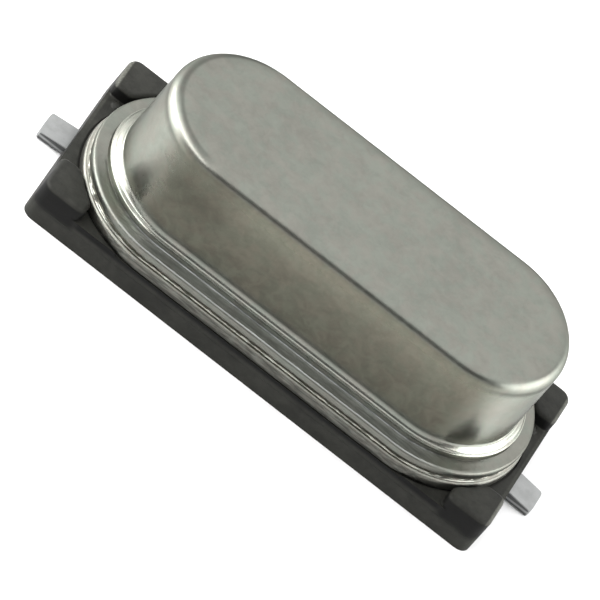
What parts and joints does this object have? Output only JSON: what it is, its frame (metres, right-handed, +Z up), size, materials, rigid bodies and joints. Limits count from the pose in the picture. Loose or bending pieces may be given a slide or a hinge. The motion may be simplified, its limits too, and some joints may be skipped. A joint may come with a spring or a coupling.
{
  "type": "surface-mount quartz crystal unit",
  "caption": "Low metal-can quartz crystal unit with round ends, welded to a header on a black moulded base, with flat solder tabs at both short ends.",
  "frame": {"origin": "middle of the footprint, on the board that the unit is soldered to", "axes": "+X along the can from the left tab to the right tab, +Y across it, +Z up from the board"},
  "size_m": [0.0128, 0.0046, 0.0037],
  "materials": {
    "can_metal": "satin nickel silver, faintly mottled",
    "header_metal": "satin plated steel",
    "black_resin": "moulded, slightly glossy",
    "tinned_lead": "matte tin plate, sheared edges",
    "glass_seal": "fused sealing glass",
    "clip_metal": "folded nickel silver",
    "quartz": "lapped quartz, slightly frosted",
    "silver_film": "evaporated silver",
    "silver_adhesive": "cured silver-filled epoxy"
  },
  "bodies": {
    "root": {"insulator_base": "black_resin", "header": "header_metal", "glass_bead_left": "glass_seal", "glass_bead_right": "glass_seal", "lead_left": "tinned_lead", "lead_right": "tinned_lead", "mount_clip_left": "clip_metal", "mount_clip_right": "clip_metal", "quartz_blank": "quartz", "electrode_front": "silver_film", "electrode_back": "silver_film", "adhesive_left_front": "silver_adhesive", "adhesive_left_back": "silver_adhesive", "adhesive_right_front": "silver_adhesive", "adhesive_right_back": "silver_adhesive", "cover": "can_metal"}
  },
  "joints": []
}
